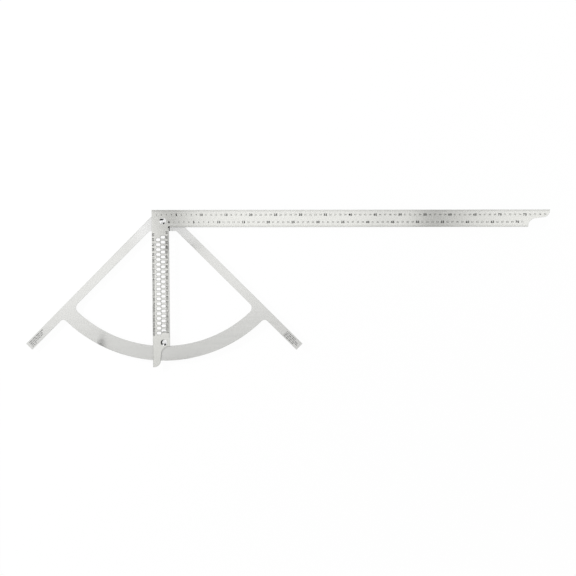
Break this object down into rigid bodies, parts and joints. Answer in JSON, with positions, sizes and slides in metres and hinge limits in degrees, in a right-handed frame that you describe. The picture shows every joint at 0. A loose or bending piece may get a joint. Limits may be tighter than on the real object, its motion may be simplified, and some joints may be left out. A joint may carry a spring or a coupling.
{
  "type": "protractor square",
  "caption": "Sheet-steel L square with scales and marking holes, and a protractor sector that swings behind it on a pivot and is locked by a thumb nut clamp.",
  "frame": {"origin": "on the pivot axis at the foot of the pivot bolt, the plane that the tool lies on", "axes": "+X along the blade, +Y out of the blade's outer edge, +Z out of the scaled front face"},
  "size_m": [1.0586, 0.32, 0.0143],
  "materials": {
    "sheet_steel": "fine brushed stainless sheet with dark etched scales",
    "plate_steel": "bare stainless sheet",
    "polished_steel": "polished stainless",
    "plated_steel": "bright zinc plate",
    "spring_steel": "dark spring steel",
    "bush_brass": "turned brass",
    "nylon": "natural nylon"
  },
  "bodies": {
    "square": {"square_sheet": "sheet_steel", "pivot_bolt": "polished_steel", "pivot_bush": "bush_brass", "slip_washer": "nylon", "spring_washer": "spring_steel", "pivot_washer": "plated_steel", "lock_nut": "plated_steel", "lock_nut_insert": "nylon", "clamp_bolt": "polished_steel"},
    "protractor": {"protractor_sheet": "sheet_steel"},
    "clamp": {"clamp_plate": "plate_steel", "clamp_heel": "plate_steel", "heel_rivets": "plated_steel", "clamp_washer": "plated_steel"},
    "thumb_nut": {"thumb_nut": "plated_steel"}
  },
  "joints": [
    {"name": "protractor_swing", "type": "hinge", "parent": "square", "child": "protractor", "pos_m": [0, 0, 0], "axis": [0, 0, 1], "range_deg": [-45, 45]},
    {"name": "clamp_release", "type": "slide", "parent": "square", "child": "clamp", "axis": [0, 0, -1], "range_m": [0, 0.0012]},
    {"name": "thumb_nut_turn", "type": "hinge", "parent": "clamp", "child": "thumb_nut", "pos_m": [0, -0.247, 0], "axis": [0, 0, -1], "range_deg": [0, 540]}
  ],
  "couplings": [
    {"joint": "thumb_nut_turn", "follows": "clamp_release", "rad_per_m": 7854}
  ]
}
